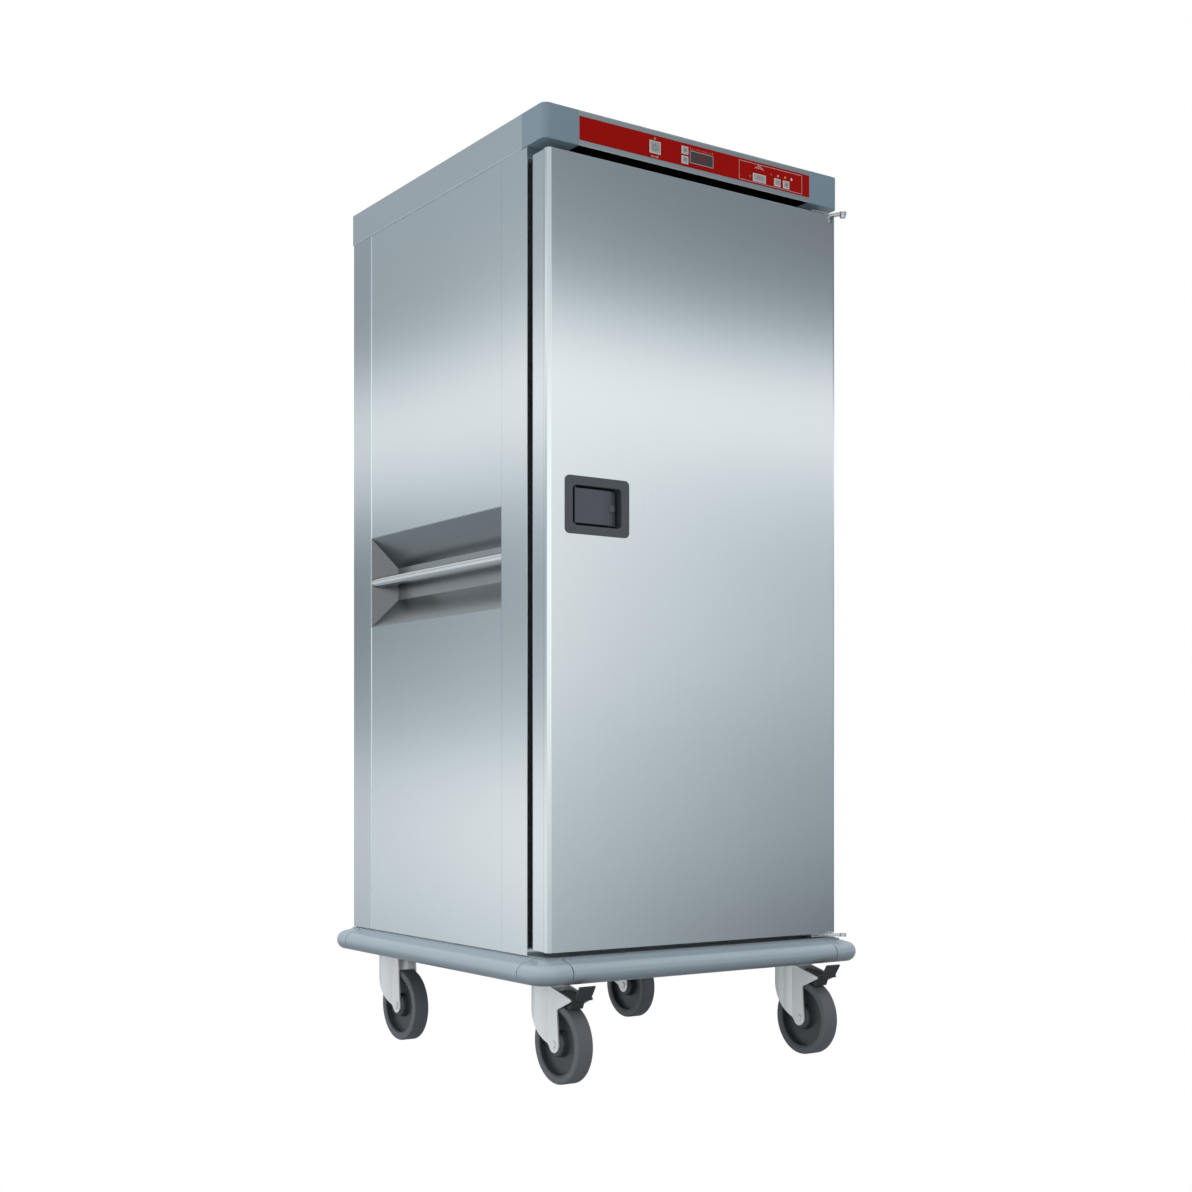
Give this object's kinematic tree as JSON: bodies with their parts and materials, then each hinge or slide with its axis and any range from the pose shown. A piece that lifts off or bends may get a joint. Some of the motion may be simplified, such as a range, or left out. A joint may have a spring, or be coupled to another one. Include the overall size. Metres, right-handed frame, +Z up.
{
  "type": "heated banquet cart",
  "caption": "Tall insulated stainless food cart with a hinged door, side handle pockets, control fascia, wrap-round bumper and swivel casters.",
  "frame": {"origin": "on the floor under the middle of the cart's box", "axes": "+Z up, +Y from the door to the back, +X to the right of someone facing the door"},
  "size_m": [0.794, 0.874, 1.803],
  "materials": {
    "stainless": "brushed vertically",
    "polished_steel": "polished",
    "steel_frame": "satin",
    "zinc": "zinc plated",
    "aluminium": "satin",
    "bumper": "satin",
    "fascia_plastic": "satin",
    "red_label": "satin film",
    "key_white": "satin",
    "display_glass": "dark window",
    "lamp_green": "clear lens",
    "circuit_board": "lacquered",
    "black_plastic": "moulded",
    "latch_plastic": "moulded",
    "hub_plastic": "moulded",
    "tyre_grey": "smooth tread",
    "gasket_rubber": "matt",
    "insulation_wool": "mineral wool",
    "motor_black": "satin",
    "heater_steel": "heat tinted"
  },
  "bodies": {
    "root": {"base_frame": "steel_frame", "bumper_rails": "bumper", "bumper_corners": "bumper", "caster_plates": "zinc", "caster_bolts": "zinc", "corner_posts": "stainless", "side_panels": "stainless", "handle_pockets": "stainless", "handle_bars": "polished_steel", "rear_panel": "stainless", "front_frame": "stainless", "inner_liner": "stainless", "insulation": "insulation_wool", "service_deck": "zinc", "runner_racks": "stainless", "water_tray": "stainless", "air_baffle": "stainless", "fan_motor": "motor_black", "heater_coil": "heater_steel", "top_cover": "stainless", "fascia_corners": "fascia_plastic", "fascia_plate": "stainless", "control_label": "red_label", "display": "display_glass", "indicator_lamps": "lamp_green", "control_board": "circuit_board", "power_inlet": "black_plastic", "hinge_brackets": "polished_steel", "hinge_pins": "polished_steel", "latch_keeper": "zinc"},
    "door": {"door_skin": "stainless", "door_inner_pan": "stainless", "door_insulation": "insulation_wool", "door_gasket": "gasket_rubber", "door_hinge_arms": "polished_steel", "latch_housing": "latch_plastic"},
    "paddle": {"latch_paddle": "latch_plastic"},
    "button": {"latch_button": "latch_plastic"},
    "bolt": {"latch_bolt": "zinc"},
    "fan": {"fan_impeller": "aluminium"},
    "key_power": {"key_power": "key_white"},
    "key_up": {"key_up": "key_white"},
    "key_down": {"key_down": "key_white"},
    "key_steam": {"key_steam": "key_white"},
    "key_less": {"key_less": "key_white"},
    "key_more": {"key_more": "key_white"},
    "swivel_front_left": {"fork_front_left": "zinc"},
    "wheel_front_left": {"tyre_front_left": "tyre_grey", "wheel_hub_front_left": "hub_plastic"},
    "swivel_front_right": {"fork_front_right": "zinc"},
    "wheel_front_right": {"tyre_front_right": "tyre_grey", "wheel_hub_front_right": "hub_plastic"},
    "swivel_rear_left": {"fork_rear_left": "zinc"},
    "wheel_rear_left": {"tyre_rear_left": "tyre_grey", "wheel_hub_rear_left": "hub_plastic"},
    "swivel_rear_right": {"fork_rear_right": "zinc"},
    "wheel_rear_right": {"tyre_rear_right": "tyre_grey", "wheel_hub_rear_right": "hub_plastic"},
    "brake_front_left": {"brake_pedal_front_left": "black_plastic"},
    "brake_front_right": {"brake_pedal_front_right": "black_plastic"}
  },
  "joints": [
    {"name": "door_hinge", "type": "hinge", "parent": "root", "child": "door", "pos_m": [0.355, -0.402, 1], "axis": [0, 0, 1], "range_deg": [0, 265]},
    {"name": "paddle_pull", "type": "hinge", "parent": "door", "child": "paddle", "pos_m": [-0.2895, -0.3775, 1.07175], "axis": [0, 0, -1], "range_deg": [0, 30], "stiffness_Nm_per_rad": 0.08, "springref_deg": -11.46},
    {"name": "button_push", "type": "slide", "parent": "paddle", "child": "button", "axis": [0, 1, 0], "range_m": [0, 0.003], "stiffness_N_per_m": 250, "springref_m": -0.002},
    {"name": "bolt_slide", "type": "slide", "parent": "door", "child": "bolt", "axis": [1, 0, 0], "range_m": [0, 0.009]},
    {"name": "fan_spin", "type": "hinge", "parent": "root", "child": "fan", "pos_m": [0, 0.0125, 1.68], "axis": [0, 0, 1], "continuous": true},
    {"name": "key_power_press", "type": "slide", "parent": "root", "child": "key_power", "axis": [0, 1, 0], "range_m": [0, 0.0012], "stiffness_N_per_m": 500, "springref_m": -0.001},
    {"name": "key_up_press", "type": "slide", "parent": "root", "child": "key_up", "axis": [0, 1, 0], "range_m": [0, 0.0012], "stiffness_N_per_m": 500, "springref_m": -0.001},
    {"name": "key_down_press", "type": "slide", "parent": "root", "child": "key_down", "axis": [0, 1, 0], "range_m": [0, 0.0012], "stiffness_N_per_m": 500, "springref_m": -0.001},
    {"name": "key_steam_press", "type": "slide", "parent": "root", "child": "key_steam", "axis": [0, 1, 0], "range_m": [0, 0.0012], "stiffness_N_per_m": 500, "springref_m": -0.001},
    {"name": "key_less_press", "type": "slide", "parent": "root", "child": "key_less", "axis": [0, 1, 0], "range_m": [0, 0.0012], "stiffness_N_per_m": 500, "springref_m": -0.001},
    {"name": "key_more_press", "type": "slide", "parent": "root", "child": "key_more", "axis": [0, 1, 0], "range_m": [0, 0.0012], "stiffness_N_per_m": 500, "springref_m": -0.001},
    {"name": "caster_swivel_front_left", "type": "hinge", "parent": "root", "child": "swivel_front_left", "pos_m": [-0.299, -0.308, 0.18], "axis": [0, 0, 1], "continuous": true},
    {"name": "wheel_roll_front_left", "type": "hinge", "parent": "swivel_front_left", "child": "wheel_front_left", "pos_m": [-0.299, -0.355, 0.075], "axis": [1, 0, 0], "continuous": true},
    {"name": "caster_swivel_front_right", "type": "hinge", "parent": "root", "child": "swivel_front_right", "pos_m": [0.299, -0.308, 0.18], "axis": [0, 0, 1], "continuous": true},
    {"name": "wheel_roll_front_right", "type": "hinge", "parent": "swivel_front_right", "child": "wheel_front_right", "pos_m": [0.299, -0.355, 0.075], "axis": [1, 0, 0], "continuous": true},
    {"name": "caster_swivel_rear_left", "type": "hinge", "parent": "root", "child": "swivel_rear_left", "pos_m": [-0.299, 0.316, 0.18], "axis": [0, 0, 1], "continuous": true},
    {"name": "wheel_roll_rear_left", "type": "hinge", "parent": "swivel_rear_left", "child": "wheel_rear_left", "pos_m": [-0.299, 0.269, 0.075], "axis": [1, 0, 0], "continuous": true},
    {"name": "caster_swivel_rear_right", "type": "hinge", "parent": "root", "child": "swivel_rear_right", "pos_m": [0.299, 0.316, 0.18], "axis": [0, 0, 1], "continuous": true},
    {"name": "wheel_roll_rear_right", "type": "hinge", "parent": "swivel_rear_right", "child": "wheel_rear_right", "pos_m": [0.299, 0.269, 0.075], "axis": [1, 0, 0], "continuous": true},
    {"name": "brake_press_front_left", "type": "hinge", "parent": "swivel_front_left", "child": "brake_front_left", "pos_m": [-0.299, -0.383, 0.16], "axis": [1, 0, 0], "range_deg": [0, 14]},
    {"name": "brake_press_front_right", "type": "hinge", "parent": "swivel_front_right", "child": "brake_front_right", "pos_m": [0.299, -0.383, 0.16], "axis": [1, 0, 0], "range_deg": [0, 14]}
  ],
  "couplings": [
    {"joint": "bolt_slide", "follows": "paddle_pull", "m_per_rad": 0.017}
  ]
}
